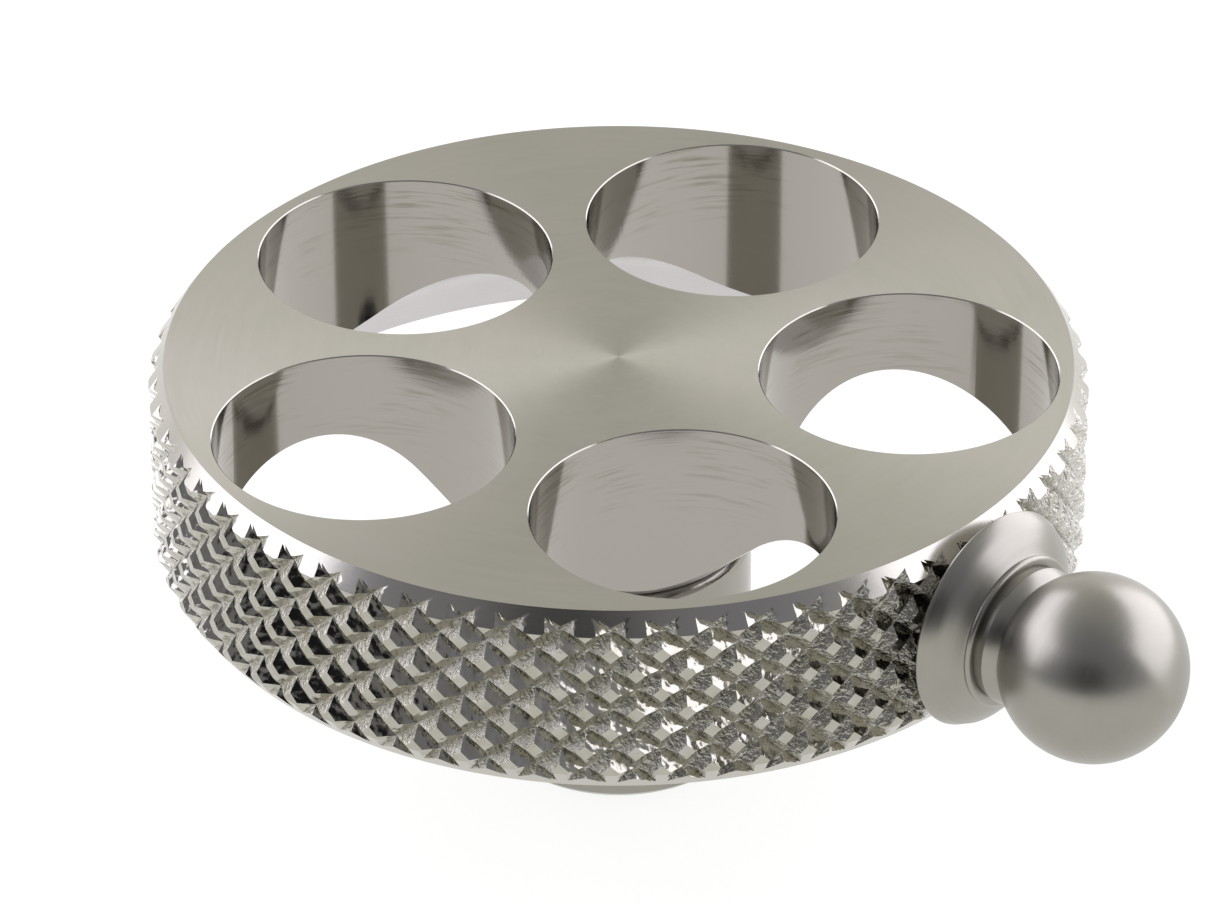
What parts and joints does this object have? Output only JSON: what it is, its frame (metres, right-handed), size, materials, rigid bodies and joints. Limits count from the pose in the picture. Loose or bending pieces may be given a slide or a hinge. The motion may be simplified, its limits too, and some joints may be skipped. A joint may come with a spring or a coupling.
{
  "type": "valve wheel handle",
  "caption": "Thick knurled wheel handle with round through holes and a radial ball knob, on a hub with a splined socket for a valve stem.",
  "frame": {"origin": "on the handle's axis, at the blind end of the stem socket, where the end of the valve's stem seats", "axes": "+Z along the handle's axis towards its top face, +X along the ball knob's axis, away from the rim"},
  "size_m": [0.0795, 0.0636, 0.0314],
  "materials": {
    "nickel_wheel": "brushed nickel, satin faces and bright cut knurl",
    "nickel_hub": "polished nickel, fine turning marks",
    "nickel_knob": "satin nickel, turned brush lines",
    "stainless": "plain stainless",
    "spring_steel": "dark ground steel",
    "raw_brass": "machined brass",
    "black_steel": "black oxide",
    "nylon": "moulded natural nylon"
  },
  "bodies": {
    "base": {"glide_ring": "nylon"},
    "handle": {"knurled_wheel": "nickel_wheel", "hub_sleeve": "nickel_hub", "hub_screw": "stainless", "hub_lock_washer": "spring_steel", "drive_pin_1": "spring_steel", "drive_pin_2": "spring_steel", "stem_adapter": "raw_brass", "knob_flange": "nickel_knob", "knob_ball": "nickel_knob", "knob_stud": "stainless"},
    "grub": {"set_screw": "black_steel"}
  },
  "joints": [
    {"name": "wheel_turn", "type": "hinge", "parent": "base", "child": "handle", "pos_m": [0, 0, 0], "axis": [0, 0, 1], "range_deg": [0, 90]},
    {"name": "set_screw_travel", "type": "slide", "parent": "handle", "child": "grub", "axis": [-1, 0, 0], "range_m": [0, 0.002]}
  ]
}
